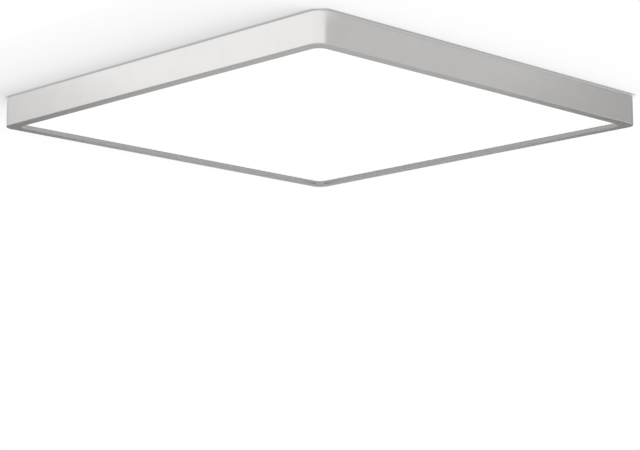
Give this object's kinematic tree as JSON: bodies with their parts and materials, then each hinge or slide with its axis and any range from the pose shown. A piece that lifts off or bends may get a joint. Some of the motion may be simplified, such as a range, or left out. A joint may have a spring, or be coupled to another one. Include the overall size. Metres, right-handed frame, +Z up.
{
  "type": "flush mount ceiling light",
  "caption": "Square edge-lit flush mount ceiling light: slim satin metal rim, opal diffuser, spring-clip ceiling bracket, slim driver, lever terminal block and colour selector.",
  "frame": {"origin": "centre of the ceiling bracket's upper face, on the ceiling plane", "axes": "+Z up into the ceiling, light leaves along -Z, lamp sides along X and Y, bracket along X"},
  "size_m": [0.3, 0.3, 0.02],
  "materials": {
    "frame_aluminium": "smooth satin silver",
    "opal_acrylic": "opal sheet, lit white",
    "clear_acrylic": "clear polished sheet",
    "white_film": "matt white film",
    "white_foam": "fine white foam",
    "zinc_steel": "zinc plated sheet",
    "screw_steel": "zinc plated",
    "rivet_steel": "plain steel",
    "spring_steel": "bright stainless strip",
    "green_steel": "green finish",
    "board_white": "white solder mask",
    "led_phosphor": "phosphor gel in a white package",
    "thermal_tape": "thin tape",
    "socket_nylon": "natural nylon",
    "grommet_rubber": "black rubber",
    "driver_plastic": "moulded, fine texture",
    "board_green": "green solder mask",
    "ferrite": "dark ferrite",
    "winding_tape": "yellow tape",
    "capacitor_sleeve": "shrunk sleeve",
    "chip_epoxy": "black epoxy",
    "selector_plastic": "moulded",
    "knob_plastic": "moulded, ridged cap",
    "terminal_plastic": "moulded",
    "terminal_copper": "tinned copper strip",
    "lever_black": "moulded",
    "lever_white": "moulded",
    "lever_green": "moulded",
    "wire_black": "soft insulation",
    "wire_white": "soft insulation",
    "wire_green": "soft insulation",
    "led_cable": "soft jacket",
    "clip_nylon": "natural nylon"
  },
  "bodies": {
    "ceiling_mount": {"ceiling_bracket": "zinc_steel", "clip_spring_left": "spring_steel", "clip_spring_right": "spring_steel", "spring_rivets": "rivet_steel", "bracket_earth_screw": "green_steel"},
    "lamp": {"frame": "frame_aluminium", "diffuser": "opal_acrylic", "light_guide": "clear_acrylic", "reflector": "white_film", "foam_sheet": "white_foam", "back_plate": "zinc_steel", "catch_left": "zinc_steel", "catch_right": "zinc_steel", "back_plate_screws": "screw_steel", "module_screws": "screw_steel", "catch_rivets": "rivet_steel", "earth_screw": "green_steel", "led_strip_left": "board_white", "led_strip_right": "board_white", "led_chips_left": "led_phosphor", "led_chips_right": "led_phosphor", "thermal_tape_left": "thermal_tape", "thermal_tape_right": "thermal_tape", "strip_socket_left": "socket_nylon", "strip_socket_right": "socket_nylon", "edge_grommet_left": "grommet_rubber", "edge_grommet_right": "grommet_rubber", "driver_case": "driver_plastic", "driver_lid": "driver_plastic", "driver_board": "board_green", "driver_transformer": "ferrite", "driver_choke": "ferrite", "transformer_winding": "winding_tape", "driver_capacitors": "capacitor_sleeve", "driver_chips": "chip_epoxy", "selector_housing": "selector_plastic", "terminal_body": "terminal_plastic", "terminal_contacts": "terminal_copper", "earth_lug": "terminal_copper", "lead_live": "wire_black", "lead_neutral": "wire_white", "lead_earth": "wire_green", "led_lead_left": "led_cable", "led_lead_right": "led_cable", "lead_clips": "clip_nylon"},
    "selector": {"selector_knob": "knob_plastic"},
    "lever_live": {"lever_live": "lever_black"},
    "lever_neutral": {"lever_neutral": "lever_white"},
    "lever_earth": {"lever_earth": "lever_green"}
  },
  "joints": [
    {"name": "lamp_release", "type": "slide", "parent": "ceiling_mount", "child": "lamp", "axis": [0, 0, -1], "range_m": [0, 0.05], "deforming": ["clip_spring_left", "clip_spring_right"]},
    {"name": "cct_selector", "type": "slide", "parent": "lamp", "child": "selector", "axis": [1, 0, 0], "range_m": [-0.0025, 0.0025]},
    {"name": "lever_live_swing", "type": "hinge", "parent": "lamp", "child": "lever_live", "pos_m": [-0.0065, 0.035, -0.0038], "axis": [1, 0, 0], "range_deg": [0, 90]},
    {"name": "lever_neutral_swing", "type": "hinge", "parent": "lamp", "child": "lever_neutral", "pos_m": [0, 0.035, -0.0038], "axis": [1, 0, 0], "range_deg": [0, 90]},
    {"name": "lever_earth_swing", "type": "hinge", "parent": "lamp", "child": "lever_earth", "pos_m": [0.0065, 0.035, -0.0038], "axis": [1, 0, 0], "range_deg": [0, 90]}
  ]
}
